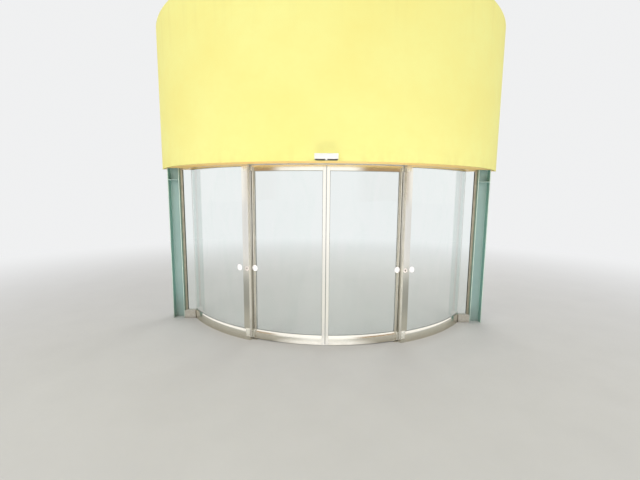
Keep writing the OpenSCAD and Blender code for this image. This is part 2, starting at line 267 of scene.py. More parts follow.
# %% [markdown]
# ## Helpers for finishes
# A finish here is a small tree of nodes. Colours are written as the eye reads them, from 0 to 255,
# and turned into the linear values that the renderer works with.
# All patterns start from object coordinates, which are metres on the real door and move with each leaf.

# %% Helpers for finishes
def paint(red, green, blue):
    """a colour as seen on a screen, in linear values"""
    def linear(v):
        v /= 255
        return v / 12.92 if v <= 0.04045 else ((v + 0.055) / 1.055) ** 2.4
    return (linear(red), linear(green), linear(blue), 1.0)


class Recipe:
    """a node tree that is built one plain step at a time"""

    def __init__(self, tree, kind):
        self.tree = tree
        self.tree.nodes.clear()
        self.output = self.node("Output" + kind)

    def link(self, a, b):
        self.tree.links.new(a, b)

    def feed(self, socket, value):
        if isinstance(value, bpy.types.NodeSocket):
            self.link(value, socket)
        else:
            socket.default_value = value

    def node(self, kind, setting=None, **inputs):
        made = self.tree.nodes.new("ShaderNode" + kind)
        for key, value in (setting or {}).items():
            setattr(made, key, value)
        for key, value in inputs.items():
            self.feed(made.inputs[key.replace("_", " ")], value)
        return made

    def calc(self, how, *values):
        made = self.node("Math", {"operation": how})
        for socket, value in zip(made.inputs, values):
            self.feed(socket, value)
        return made.outputs[0]

    def times(self, result, *others):
        """the product of several values"""
        for value in others:
            result = self.calc("MULTIPLY", result, value)
        return result

    def unsigned(self, value):
        return self.calc("ABSOLUTE", value)

    def distance(self, a, b):
        """how far a point lies away that is a to one side and b ahead"""
        return self.calc("SQRT", self.calc("ADD", self.times(a, a), self.times(b, b)))

    def split(self, vector):
        """the three numbers of a vector"""
        return self.node("SeparateXYZ", Vector=vector).outputs[:3]

    def spread(self, value, low, high, to_low=0.0, to_high=1.0, how="LINEAR"):
        """maps a value from one range to another, and holds it inside"""
        made = self.node("MapRange", {"interpolation_type": how, "clamp": True}, Value=value)
        for key, number in zip(("From Min", "From Max", "To Min", "To Max"), (low, high, to_low, to_high)):
            made.inputs[key].default_value = number
        return made.outputs[0]

    def noise(self, scale, detail=4.0, rough=0.55, stretch=None, place=None, warp=0.0):
        """grain or clouds; stretch squeezes it along the axes to make streaks"""
        where = self.place if place is None else place
        if stretch:
            where = self.node("Mapping", Vector=where, Scale=stretch).outputs[0]
        return self.node(
            "TexNoise", Vector=where, Scale=scale, Detail=detail, Roughness=rough, Distortion=warp
        ).outputs[0]

    def mix(self, share, first, second):
        made = self.node("Mix", {"data_type": "RGBA"})
        self.feed(made.inputs[0], share)
        self.feed(made.inputs[6], first)
        self.feed(made.inputs[7], second)
        return made.outputs[2]

    def mix_shader(self, share, first, second):
        made = self.node("MixShader", Fac=share)
        self.link(first.outputs[0], made.inputs[1])
        self.link(second.outputs[0], made.inputs[2])
        return made

    def relief(self, height, depth, strength=1.0, under=None):
        made = self.node("Bump", Height=height, Distance=depth, Strength=strength)
        if under is not None:
            self.link(under, made.inputs["Normal"])
        return made.outputs[0]

    def seen(self):
        """1 for what the camera sees directly, in a reflection or through glass"""
        ray = self.node("LightPath").outputs
        direct = self.calc("MAXIMUM", ray["Is Camera Ray"], ray["Is Glossy Ray"])
        return self.calc("MAXIMUM", direct, ray["Is Transmission Ray"])

    def mirrored_only(self):
        """1 for what a polished surface mirrors, and 0 for what is seen through glass"""
        ray = self.node("LightPath").outputs
        return self.times(ray["Is Glossy Ray"], self.calc("SUBTRACT", 1.0, ray["Is Transmission Ray"]))

    def show(self, shader):
        """what the renderer takes as the result of the tree"""
        self.link(shader.outputs[0], self.output.inputs["Surface"])


class Finish(Recipe):
    """the tree of one material, with its shader and its coordinates"""

    def __init__(self, name, **fixed):
        self.material = bpy.data.materials.new(name)
        self.material.use_nodes = True
        super().__init__(self.material.node_tree, "Material")
        self.shader = self.node("BsdfPrincipled", **fixed)
        self.show(self.shader)
        self.place = self.node("TexCoord").outputs["Object"]

    def height_of(self):
        return self.split(self.place)[2]

    def drum_place(self):
        """the same point as (way along the curve, radius, height), in metres"""
        x, y, z = self.split(self.place)
        before = self.calc("SUBTRACT", axis_y, y)
        way = self.times(self.calc("ARCTAN2", x, before), leaf_face)
        return self.node("CombineXYZ", X=way, Y=self.distance(x, before), Z=z).outputs[0]

    def wear(self, colour, rough, bump=None):
        """the last step: what the tree has worked out goes to the shader"""
        self.feed(self.shader.inputs["Base Color"], colour)
        self.feed(self.shader.inputs["Roughness"], rough)
        if bump is not None:
            self.link(bump, self.shader.inputs["Normal"])
        return self.material


def make_plain(name, light, deep, shine, grain_scale=260.0, depth=0.0002, strength=0.3, **fixed):
    """a plain moulded or drawn finish with grain, faint clouds and an uneven shine"""
    f = Finish(name, **fixed)
    light, deep = paint(*light), paint(*deep)
    grain = f.noise(grain_scale, 3, 0.6)
    cloud = f.noise(12.0, 4, 0.6)
    tone = f.mix(f.spread(cloud, 0.35, 0.68), light, deep)
    tone = f.mix(f.spread(grain, 0.55, 0.75, 0.0, 0.15), tone, deep)
    return f.wear(tone, f.spread(cloud, 0.3, 0.7, *shine), f.relief(grain, depth, strength))


print("finish helpers ready")

# %% [markdown]
# ## Painted render on the drum
# The drum is a board skin with a thin render coat, trowelled and painted a strong light yellow.
# Up close it has a sandy grain, over that the slow waves of the trowel, and faint streaks left by water.
# The bump carries the grain and the waves, while the colour only drifts a little, as paint does outdoors.

# %% Painted render on the drum
def make_render(name, light, deep, dirt):
    """a trowelled and painted coat, with stains near its upper and lower edge"""
    f = Finish(name, Specular_IOR_Level=0.3)
    light, deep, dirt = paint(*light), paint(*deep), paint(*dirt)
    way = f.drum_place()
    clouds = f.noise(1.3, 5, 0.6, place=way)
    patches = f.noise(9.0, 4, 0.6, place=way)
    streaks = f.noise(14.0, 3, 0.5, stretch=(1.0, 1.0, 0.05), place=way)
    height = f.height_of()
    low_edge = f.spread(height, soffit_z + 0.16, soffit_z + 0.002)
    top_edge = f.spread(height, drum_top - 0.7, drum_top)
    tone = f.mix(f.spread(clouds, 0.35, 0.7), light, deep)
    tone = f.mix(f.spread(patches, 0.45, 0.75, 0.0, 0.35), tone, deep)
    stain = f.times(f.spread(streaks, 0.52, 0.72), f.calc("ADD", top_edge, low_edge), 0.10)
    tone = f.mix(stain, tone, dirt)
    tone = f.mix(f.times(low_edge, f.spread(patches, 0.4, 0.65, 0.0, 0.07)), tone, dirt)
    grain = f.noise(420.0, 3, 0.7)
    trowel = f.noise(7.0, 3, 0.5, stretch=(1.0, 1.0, 0.55), place=way, warp=0.6)
    bump = f.relief(grain, 0.0006, 0.55, f.relief(trowel, 0.004, 0.35))
    return f.wear(tone, f.spread(grain, 0.3, 0.7, 0.74, 0.92), bump)


yellow_render = make_render("yellow_render", (254, 250, 160), (253, 243, 148), (204, 176, 96))
# The soffit copy is the drum's yellow paint made a deeper orange: painted shade for the underside, which is
# lit only from below.
soffit_render = make_render("soffit_render", (255, 226, 152), (254, 210, 130), (204, 156, 92))
end_render = make_render("end_render", (248, 236, 160), (240, 220, 138), (176, 150, 92))
print("drum finishes", yellow_render.name, soffit_render.name, end_render.name)

# %% [markdown]
# ## Boards inside the drum
# From behind, the drum shows its lining: pale fibre boards with a matt, slightly fuzzy face.
# Large pale blotches, short fibres in all directions and a darker band along the lower edge are enough.

# %% Boards inside the drum
f = Finish("lining_board", Specular_IOR_Level=0.25)
way = f.drum_place()
blotches = f.noise(3.1, 5, 0.6, place=way)
fibres = f.noise(160.0, 4, 0.7, stretch=(1.0, 1.0, 0.2), place=way, warp=1.5)
tone = f.mix(f.spread(blotches, 0.3, 0.75), paint(226, 222, 212), paint(217, 212, 201))
tone = f.mix(f.spread(fibres, 0.5, 0.8, 0.0, 0.2), tone, paint(186, 178, 165))
# Darker towards the lower edge.
darker_low_band = f.spread(f.height_of(), soffit_z + 0.22, soffit_z + 0.02, 0.0, 0.3)
tone = f.mix(darker_low_band, tone, paint(170, 160, 145))
lining_board = f.wear(tone, f.spread(blotches, 0.3, 0.7, 0.82, 0.94), f.relief(fibres, 0.0005, 0.5))
print("lining finish", lining_board.name)

# %% [markdown]
# ## Green paint on the steel
# The posts are rolled H sections with a satin grey-green paint. Rolled steel is never quite flat,
# the paint has the fine skin of an orange, and the foot is scuffed and splashed.
# The flange edges that face front and back, which a distance from the web finds, are painted pale as a
# painted highlight, and the side faces get painted shade.
# Chips are small, so a noise with a hard limit makes them, and they show a dull primer.

# %% Green paint on the steel
f = Finish("green_steel", Coat_Weight=0.12, Coat_Roughness=0.25)
skin = f.noise(230.0, 2, 0.5)
drift = f.noise(2.2, 4, 0.6)
waves = f.noise(5.0, 2, 0.5, stretch=(1.0, 1.0, 0.3))
runs = f.noise(26.0, 3, 0.5, stretch=(1.0, 1.0, 0.04))
height = f.height_of()
foot = f.spread(height, 0.34, 0.0)
tone = f.mix(f.spread(drift, 0.32, 0.7), paint(172, 198, 193), paint(160, 188, 184))
tone = f.mix(f.spread(runs, 0.52, 0.75, 0.0, 0.22), tone, paint(192, 218, 206))

post_x = (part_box("post_right")[0].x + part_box("post_right")[1].x) / 2
from_web = f.unsigned(f.calc("SUBTRACT", f.unsigned(f.split(f.place)[0]), post_x))
side_normal, facing = f.split(f.node("TexCoord").outputs["Normal"])[:2]
# Flange edges facing front or back are painted paler: a painted highlight, made uneven by a noise.
edges = f.times(f.spread(from_web, 0.0635, 0.066), f.spread(f.unsigned(facing), 0.8, 0.95))
# Faces that look sideways are painted darker and greener: painted shade.
shaded_flank = f.spread(f.unsigned(side_normal), 0.6, 0.9)
tone = f.mix(f.times(shaded_flank, 0.7), tone, paint(118, 172, 158))
edge_highlight = f.times(edges, f.spread(f.noise(18.0, 3, 0.6), 0.25, 0.6, 0.45, 0.95))
tone = f.mix(edge_highlight, tone, paint(222, 238, 224))
tone = f.mix(f.times(foot, f.spread(drift, 0.3, 0.62, 0.15, 0.75)), tone, paint(132, 138, 122))
chips = f.times(f.spread(f.noise(70.0, 3, 0.7), 0.71, 0.73), f.spread(height, 0.9, 0.1))
tone = f.mix(chips, tone, paint(108, 104, 96))
rough = f.calc("ADD", f.spread(skin, 0.3, 0.7, 0.34, 0.46), f.times(foot, 0.2))
green_steel = f.wear(tone, rough, f.relief(skin, 0.0003, 0.3, f.relief(waves, 0.003, 0.3)))
print("post finish", green_steel.name)

# %% [markdown]
# ## Stainless steel
# Stiles are brushed along their length and rails along the curve, so the hairlines need two directions.
# The same recipe takes the direction as its stretch: a noise squeezed in two axes and long in the third.
# Hands leave a band of smudges at holding height, and the floor leaves a dull band near the foot.

# %% Stainless steel
def make_steel(name, colour, stretch, shine, hairline=0.3):
    """brushed steel; hairlines that follow the curve belong to rails, which nobody holds"""
    f = Finish(name, Metallic=1.0)
    colour = paint(*colour)
    place = f.drum_place() if stretch == curved else f.place
    hair = f.noise(900.0, 3, 0.65, stretch=stretch, place=place)
    band = f.noise(60.0, 2, 0.5, stretch=stretch, place=place)
    height = f.height_of()
    rough = f.spread(hair, 0.3, 0.7, *shine)
    tone = f.mix(f.spread(band, 0.35, 0.7), colour, tuple(0.93 * c for c in colour[:3]) + (1.0,))
    if stretch == upright:
        held = f.times(f.spread(height, 0.75, 1.0), f.spread(height, 1.4, 1.15))
        prints = f.spread(f.noise(26.0, 5, 0.65, warp=0.8), 0.5, 0.75)
        rough = f.calc("ADD", rough, f.times(held, prints, 0.07))
    clouds = f.spread(f.noise(6.0, 4, 0.6), 0.35, 0.65, 0.2, 1.0)
    foot = f.times(f.spread(height, 0.10, 0.0), clouds)
    rough = f.calc("ADD", rough, f.times(foot, 0.14))
    tone = f.mix(f.times(foot, 0.22), tone, paint(150, 140, 124))
    return f.wear(tone, rough, f.relief(hair, 0.0002, hairline))


upright, curved = (1.0, 1.0, 0.006), (0.006, 1.0, 1.0)
steel_stile = make_steel("steel_stile", (242, 240, 234), upright, (0.08, 0.18))
steel_rail = make_steel("steel_rail", (245, 242, 234), curved, (0.08, 0.19))
steel_header = make_steel("steel_header", (222, 220, 214), curved, (0.24, 0.38))
steel_shoe = make_plain(
    "steel_shoe", (252, 250, 240), (240, 238, 226), (0.24, 0.34), 380.0, Metallic=0.35)
track_steel = make_steel("track_steel", (226, 225, 220), curved, (0.12, 0.24), 0.15)
print("steel finishes", [m.name for m in (steel_stile, steel_rail, steel_header, steel_shoe, track_steel)])

# %% [markdown]
# ## Clear glass
# The panes are 10 mm thick and solid, so light bends in and out of them as in the real ones.
# A renderer can't send lamp light through bent glass quickly, so shadow rays pass straight through.
# A thin film of dust and wiping marks changes how sharp the reflections are.

# %% Clear glass
f = Finish("clear_glass", Transmission_Weight=1.0, IOR=1.45)
wipes = f.noise(5.0, 5, 0.65, stretch=(1.0, 1.0, 0.35), warp=1.2)
drops = f.noise(55.0, 4, 0.7)
low_dust = f.spread(f.height_of(), 0.5, 0.1)
tone = f.mix(f.spread(wipes, 0.3, 0.75), paint(252, 255, 254), paint(247, 253, 251))
f.wear(tone, f.spread(wipes, 0.45, 0.8, 0.0, 0.02), f.relief(f.noise(0.8, 1, 0.3), 0.002, 0.1))
film = f.node("BsdfDiffuse", Color=paint(236, 238, 234), Roughness=0.9)
splashed = f.times(low_dust, f.spread(drops, 0.5, 0.72, 0.0, 0.06))
share = f.calc("ADD", f.spread(wipes, 0.5, 0.8, 0.0, 0.01), splashed)
dusty = f.mix_shader(share, f.shader, film)
clear = f.node("BsdfTransparent", Color=(0.93, 0.97, 0.95, 1.0))
f.show(f.mix_shader(f.node("LightPath").outputs["Is Shadow Ray"], dusty, clear))
clear_glass = f.material
print("glass finish", clear_glass.name)

# %% [markdown]
# ## Small parts: stone, rubber, plastic, trim
# The blocks beside the posts are a honed beige-grey stone with small chips of mixed colour.
# A cell pattern with a random grey per cell gives the chips, and a second, finer one the sand between them.
# Rubber, brush fibres, silicone and moulded plastic each need only a grain and an uneven shine.

# %% Small parts: stone, rubber, plastic, trim
f = Finish("block_stone")
chips = f.node("TexVoronoi", {"feature": "F1"}, Vector=f.place, Scale=150.0, Randomness=1.0)
grain = f.noise(900.0, 3, 0.7)
cloud = f.noise(11.0, 4, 0.6)
shade = f.node("SeparateColor", Color=chips.outputs["Color"]).outputs[0]
tone = f.mix(f.spread(shade, 0.0, 1.0), paint(204, 200, 190), paint(170, 165, 154))
tone = f.mix(f.spread(shade, 0.9, 0.97, 0.0, 0.6), tone, paint(216, 210, 196))
tone = f.mix(f.spread(cloud, 0.4, 0.7, 0.0, 0.4), tone, paint(172, 160, 138))
# The block is darker towards the bottom.
darker_foot = f.spread(f.height_of(), 0.035, 0.0, 0.0, 0.5)
tone = f.mix(darker_foot, tone, paint(112, 104, 92))
block_stone = f.wear(tone, f.spread(cloud, 0.3, 0.7, 0.42, 0.6), f.relief(grain, 0.0004, 0.4))

bristles = {"grain_scale": 700.0, "depth": 0.0006, "strength": 0.7}
channel_satin = make_plain("channel_satin", (192, 184, 164), (172, 164, 146), (0.3, 0.42), Metallic=0.5)
gasket_grey = make_plain("gasket_grey", (158, 160, 156), (136, 139, 135), (0.5, 0.66))
rubber = make_plain("rubber", (52, 52, 51), (38, 38, 38), (0.55, 0.72))
seal_pale = make_plain("seal_pale", (214, 211, 200), (198, 195, 184), (0.45, 0.6))
silicone = make_plain("silicone", (206, 208, 202), (186, 189, 183), (0.3, 0.42))
brush_fibre = make_plain("brush_fibre", (70, 70, 70), (40, 40, 40), (0.7, 0.85), **bristles)
brush_pale = make_plain("brush_pale", (206, 202, 190), (184, 180, 168), (0.7, 0.85), **bristles)
sensor_white = make_plain("sensor_white", (250, 250, 247), (242, 242, 238), (0.2, 0.3))
sensor_dark = make_plain("sensor_dark", (78, 73, 72), (60, 57, 57), (0.08, 0.16))
disc_white = make_plain("disc_white", (255, 253, 254), (250, 247, 249), (0.35, 0.5))
cover_satin = make_plain("cover_satin", (240, 230, 225), (230, 219, 214), (0.3, 0.42))
screw_steel = make_plain("screw_steel", (200, 198, 190), (170, 168, 160), (0.2, 0.34), Metallic=1.0)
print("small finishes ready")

# %% [markdown]
# ## Put the finishes on the model
# The imported pieces keep their own meshes. Only what is in their material slots changes.
# The record names a slot for each piece, and a few pieces need a special finish inside their slot,
# such as the soffit, which is the same paint made a deeper orange as painted shade for its underside.

# %% Put the finishes on the model
by_slot = {
    "yellow_render": yellow_render, "lining_board": lining_board, "green_steel": green_steel,
    "stainless": steel_rail, "polished_steel": track_steel, "clear_glass": clear_glass,
    "block_stone": block_stone, "dark_trim": channel_satin, "sensor_white": sensor_white,
    "sensor_dark": sensor_dark,
}
special = {
    "fascia_soffit": soffit_render, "fascia_end": end_render, "_stile_": steel_stile,
    "header": steel_header,
}
slot_of = {row["node"]: row["material_slot"] for row in frame["record"]["subparts"]}


def finish_for(node):
    """the special finish that the name calls for, or the one of its slot"""
    for part, finish in special.items():
        if part in node:
            return finish
    return by_slot[slot_of[node]]


for name, piece in nodes.items():
    for holder in piece.material_slots:
        holder.material = finish_for(name)
print(len(nodes), "pieces of the model have a finish")

# %% [markdown]
# ## Soft edges
# No metal or stone edge is knife sharp. A folded sheet has a small radius, and light catches on it.
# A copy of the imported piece, with its flat faces merged and a narrow bevel, stands in for the plain one.
# The copy keeps the place and size of the original, so it still fits its neighbours.

# %% Soft edges
def with_soft_edges(node, radius, segments=2):
    """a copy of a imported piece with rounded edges, shown in its place"""
    work = bmesh.new()
    work.from_mesh(nodes[node].data)
    bmesh.ops.remove_doubles(work, verts=work.verts, dist=1e-5)
    bmesh.ops.dissolve_limit(
        work, angle_limit=math.radians(0.3), verts=work.verts, edges=work.edges)
    piece = make_piece(
        node + "_soft", shape_of(work), finish_for(node), nodes[node]["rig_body"],
        stands_for=[node])
    bevel = piece.modifiers.new("soft edges", "BEVEL")
    bevel.width = radius
    bevel.segments = segments
    bevel.limit_method = "ANGLE"
    bevel.angle_limit = math.radians(30)
    bevel.miter_outer = "MITER_ARC"
    bevel.harden_normals = True


folded_edge = 0.0008
for side in ("left", "right"):
    with_soft_edges("post_" + side, 0.0012)
    with_soft_edges("fascia_end_" + side, 0.002)
    for part in ("sidelight_stile_", "sidelight_base_rail_", "leaf_rear_stile_", "leaf_meeting_stile_",
                 "leaf_bottom_rail_", "leaf_top_rail_", "jamb_channel_"):
        with_soft_edges(part + side, folded_edge)
with_soft_edges("header_case", 0.001)
with_soft_edges("header_cover", 0.0012)
with_soft_edges("fascia_coping", 0.003)
with_soft_edges("fascia_skin", 0.004, 3)
print("soft edges made")

# %% [markdown]
# ## Gaskets around the panes
# Glass never touches metal: a thin grey wedge of rubber is pushed in on each side of it.
# Along the rails the wedge follows the curve, and beside the stiles it stands upright.
# All wedges of one pane are one mesh, which rides on the same body as the pane.

# %% Gaskets around the panes
gasket_w, gasket_h = 0.0026, 0.0042
side_rail_z, leaf_rail_z = (0.122, 1.932), (0.112, 1.884)
side_stile_angle = 25.667
leaf_stile_angles = (1.011, 22.305)
corner_angle = math.degrees(math.asin(glass_corner_x / side_glass))


def wedge(face, toward_glass):
    """the section of one wedge: how far it lies from the middle of the pane, and how far it reaches in"""
    return [
        (face * half_glass, 0.0), (face * (half_glass + gasket_w), 0.0),
        (face * (half_glass + gasket_w * 0.85), toward_glass * gasket_h * 0.55),
        (face * half_glass, toward_glass * gasket_h),
    ]


def pane_gasket(radius, heights, angles, stiles):
    """wedges on both faces of a pane, along two rails and beside the stiles (angle, toward the glass)"""
    parts = []
    for height, toward_glass in zip(heights, (1, -1)):
        for face in (1, -1):
            outline = [(radius + out, height + reach) for out, reach in wedge(face, toward_glass)]
            parts.append(run_along(outline, *angles))
    for angle, toward_glass in stiles:
        for face in (1, -1):
            outline = plan_on_curve(angle, radius, wedge(face, toward_glass))
            parts.append(stand_up(outline, *heights))
    return joined(parts)


for side, sign in sides:
    near, far = sign * side_stile_angle, sign * (corner_angle - 0.15)
    shape = pane_gasket(side_glass, side_rail_z, (near, far), [(near, sign)])
    make_piece("sidelight_gasket_" + side, shape, gasket_grey, "frame")
    near, far = (sign * a for a in leaf_stile_angles)
    shape = pane_gasket(leaf_glass, leaf_rail_z, (near, far), [(near, sign), (far, -sign)])
    make_piece("leaf_gasket_" + side, shape, gasket_grey, "leaf_" + side)
print("gaskets follow", round(corner_angle, 2), "degrees of the curve on each side")

# %% [markdown]
# ## Silicone joints
# Where the curved pane meets the straight one beside the post, the two are only glued with silicone.
# A soft round bead on both sides hides the cut edges. The straight pane stands on its stone block
# in the same silicone, and a rubber wedge closes the joint to the channel at the post.

# %% Silicone joints
pane_y = axis_y - math.sqrt(side_glass ** 2 - glass_corner_x ** 2)
channel_x, block_top = 1.8347, 0.103
joint_low, joint_high = 0.1045, 1.9315
bead_w, bead_d = 0.0042, 0.0036
for side, sign in sides:
    parts = []
    for face in (-1, 1):
        outline = [
            (sign * glass_corner_x + bead_w * math.cos(a), pane_y + face * bead_w + bead_d * math.sin(a))
            for a in np.linspace(0, 2 * math.pi, 10, endpoint=False)
        ]
        parts.append(stand_up(outline, joint_low, joint_high, 3))
    for face in (-1, 1):
        y = pane_y + face * half_glass
        profile = [(0.0, 0.0), (face * 0.004, 0.0), (face * 0.0024, 0.0026), (0.0, 0.0044)]
        ends = (sign * glass_corner_x, sign * channel_x)
        points = [(x, y + dy, block_top + dz) for x in ends for dy, dz in profile]
        parts.append((points, tube_faces(4, 2)))
    make_piece("silicone_joint_" + side, joined(parts), silicone, "frame")

    parts = []
    for face in (-1, 1):
        y = pane_y + face * half_glass
        x = sign * channel_x
        outline = [(x, y), (x, y + face * gasket_w), (x - sign * gasket_h * 0.6, y + face * gasket_w * 0.8),
                   (x - sign * gasket_h, y)]
        parts.append(stand_up(outline, joint_low, joint_high))
    make_piece("channel_gasket_" + side, joined(parts), rubber, "frame")
print("silicone and channel seals stand at x =", glass_corner_x, "and", channel_x)

# %% [markdown]
# ## Stone blocks
# A short stone block fills the foot of the straight pane. Its edges are eased with a small chamfer,
# and the corners are slightly worn.
# The block is built from a fine grid, so that each corner can be worn by a different amount.

# %% Stone blocks
def worn_block(low, high, chamfer, wear, cells=(14, 8, 10)):
    """a block with eased edges, whose arrises are slightly and unevenly worn"""
    work = bmesh.new()
    bmesh.ops.create_cube(work, size=1.0)
    size = high - low
    for v in work.verts:
        v.co = Vector((low[i] + (v.co[i] + 0.5) * size[i] for i in range(3)))
    for axis, count in enumerate(cells):
        for k in range(1, count):
            at = low.copy()
            at[axis] = low[axis] + size[axis] * k / count
            normal = Vector([1.0 if i == axis else 0.0 for i in range(3)])
            bmesh.ops.bisect_plane(
                work, geom=work.verts[:] + work.edges[:] + work.faces[:], plane_co=at, plane_no=normal)
    edges = [e for e in work.edges if len(e.link_faces) == 2 and e.calc_face_angle() > 1.0]
    bmesh.ops.bevel(work, geom=edges, offset=chamfer, segments=2, profile=0.6, affect="EDGES")
    middle = (low + high) / 2
    for v in work.verts:
        near = sum(
            min(abs(v.co[i] - low[i]), abs(v.co[i] - high[i])) < chamfer * 1.2 for i in range(3))
        if near >= 2:
            pull = (middle - v.co).normalized()
            v.co += pull * random.uniform(0.0, wear) * (near - 1)
    return shape_of(work)


for side in ("left", "right"):
    node = "base_block_" + side
    low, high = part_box(node)
    shape = worn_block(low, high, chamfer=0.0025, wear=0.0009)
    make_piece(node + "_worn", shape, block_stone, "frame", stands_for=[node])
print("stone blocks", [round(v * 1000) for v in high - low], "mm")

# %% [markdown]
# ## The motion sensor
# The sensor is a white moulded box over the centre of the door. Under it sits a dark lens strip,
# split by a small light boss, and the two end caps are separate mouldings with a fine gap.
# It is drawn as rounded outlines in plan, stacked with a small radius at the top and bottom edges.

# %% The motion sensor
def sensor_outline(half, front, radius):
    """the rounded plan of the sensor; its back follows the drum"""
    points = []
    for sign, turns in ((-1, np.linspace(0, 90, 7)), (1, np.linspace(90, 0, 7))):
        for a in np.radians(turns):
            points.append((
                sign * (half - radius + radius * math.cos(a)), front + radius - radius * math.sin(a)))
    backs = np.linspace(half, -half, 13)
    points += [(x, axis_y - math.sqrt(drum_face ** 2 - x ** 2) - 0.0003) for x in backs]
    return points


def sensor_shell(half, front, radius, bottom, levels):
    """stacks the outline at rising levels, drawn in by the inset of each level"""
    return stacked([
        (sensor_outline(half - inset, front + inset, max(radius - inset, 0.001)), bottom + z)
        for inset, z in levels])


low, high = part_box("sensor_housing")
sensor_half, sensor_front = high.x, low.y
edge, skirt = 0.003, 0.005
sensor_low, sensor_high = low.z + skirt, high.z
rise = sensor_high - sensor_low
rounds = [
    (edge * (1 - math.sin(math.radians(a))), edge * (1 - math.cos(math.radians(a)))) for a in (0, 30, 60, 90)]
levels = rounds + [(0.0, rise * 0.5)] + [(inset, rise - z) for inset, z in reversed(rounds)]
shell = sensor_shell(sensor_half, sensor_front, 0.010, sensor_low, levels)
make_piece("sensor_shell", shell, sensor_white, "frame", stands_for=["sensor_housing"])

low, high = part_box("sensor_lens")
lens_half, lens_front, lens_high = high.x, low.y, high.z + skirt
lens_rise = lens_high - low.z
levels = [
    (0.0025, 0.0), (0.0008, 0.0009), (0.0, 0.0026), (-0.0045, lens_rise - 0.003), (-0.0045, lens_rise)]
strip = sensor_shell(lens_half, lens_front, 0.008, low.z, levels)
make_piece("sensor_lens_strip", strip, sensor_dark, "frame", stands_for=["sensor_lens"])

boss, nose = [], 0.006
for step, (half, back) in enumerate(((0.017, 0.0), (0.0155, 0.0018), (0.012, 0.003))):
    outline = [
        (half * math.cos(a), lens_front - 0.0055 + back + nose - nose * math.sin(a))
        for a in np.linspace(0, math.pi, 9)
    ]
    outline += [(-half, lens_front + 0.016), (half, lens_front + 0.016)]
    boss.append((outline, lens_high - 0.0002 - 0.0055 * step))
make_piece("sensor_boss", stacked(boss), sensor_white, "frame")

# The fine gaps round the end caps are thin dark slabs set just inside the shell: painted shade in the joints.
caps, cap_w, half_gap = [], 0.021, 0.0007
for sign in (-1, 1):
    x = sign * (sensor_half - cap_w)
    front = sensor_front - 0.0003
    ring = [
        (x - half_gap, front + 0.0006), (x + half_gap, front + 0.0006), (x + half_gap, front + 0.03),
        (x - half_gap, front + 0.03)]
    caps.append(stand_up(ring, sensor_low + 0.004, sensor_high - 0.004))
make_piece("sensor_cap_gaps", joined(caps), rubber, "frame")
print("sensor", round(2000 * sensor_half), "mm wide,", round(1000 * rise), "mm high")

# %% [markdown]
# ## Caution discs and lock covers
# Plain white discs at elbow height keep people from walking into the panes.
# On the fixed pane the disc is thin foil that follows the curve, so it is a fan of points laid on the glass.
# On the leaf it is a stiff round plate, held on the stile and on a small pad over the recessed bead.
# Between them the fixed stile carries a round lock cover with its cylinder.

# %% Caution discs and lock covers
def foil_disc(angle, radius, height, size, thick):
    """a thin round foil on a curved surface"""
    rings, spokes = 4, 32
    points, faces = [], []
    for lift in (0.0, thick):
        points.append(on_curve(angle, radius + lift, height))
        for ring in range(1, rings + 1):
            for k in range(spokes):
                a = 2 * math.pi * k / spokes
                reach = size * ring / rings
                points.append(on_curve(
                    along_curve(angle, radius, reach * math.cos(a)), radius + lift,
                    height + reach * math.sin(a)))
    for k in range(spokes):
        n = (k + 1) % spokes
        faces.append((0, 1 + k, 1 + n))
        for ring in range(rings - 1):
            a = 1 + ring * spokes
            b = a + spokes
            faces.append((a + k, b + k, b + n, a + n))
    rim = [1 + (rings - 1) * spokes + k for k in range(spokes)]
    return points, two_sided(faces, rim, 1 + rings * spokes)


disc_z, disc_size, foil_thick = 0.824, 0.034, 0.0004
foil_angles = {"left": -27.2, "right": 26.8}
plate_angle, pad_angle, lock_angle = 22.4, 22.64, 24.13
plate_profile = [
    (disc_size - 0.0012, 0.0), (disc_size, 0.0009), (disc_size, 0.0024), (disc_size - 0.0009, 0.0034),
    (disc_size - 0.004, 0.0038), (0.006, 0.0041)]
pad_profile = [(0.0105, -0.0001), (0.0105, 0.0055), (0.0095, 0.0061)]
cover_profile = [(0.0235, 0.0), (0.0235, 0.0008), (0.0225, 0.0014), (0.0122, 0.0016), (0.0116, 0.0012)]
barrel_profile = [
    (0.0112, 0.0004), (0.0112, 0.0020), (0.0102, 0.0026), (0.0040, 0.0026), (0.0036, 0.0014),
    (0.0006, 0.0014)]
for side, sign in sides:
    shape = foil_disc(foil_angles[side], side_glass + half_glass, disc_z, disc_size, foil_thick)
    make_piece("disc_sidelight_" + side, shape, disc_white, "frame", 60)
    outward = outward_at(sign * plate_angle)
    plate = lathe(on_curve(sign * plate_angle, leaf_face - 0.0002, disc_z), outward, plate_profile, 48)
    pad = lathe(on_curve(sign * pad_angle, leaf_face - 0.006, disc_z), outward, pad_profile)
    make_piece("disc_leaf_" + side, joined([plate, pad]), disc_white, "leaf_" + side, 50)

    outward = outward_at(sign * lock_angle)
    place = on_curve(sign * lock_angle, side_face - 0.0004, disc_z)
    cover = lathe(place, outward, cover_profile, 40)
    make_piece("lock_cover_" + side, cover, cover_satin, "frame", 30)
    barrel = lathe(place, outward, barrel_profile, 28)
    make_piece("lock_barrel_" + side, barrel, screw_steel, "frame", 30)
print("discs and locks at", disc_z, "m")

# %% [markdown]
# ## Polished shoe covers
# The stiles end in short polished shoes, and these bright patches are what the eye finds first at the foot.
# A perfectly flat patch would look like the stile behind it. The cover is pressed sheet with a slight dome,
# so it gathers light from a wider field. It is a grid of points whose lift falls to nothing at the rim.

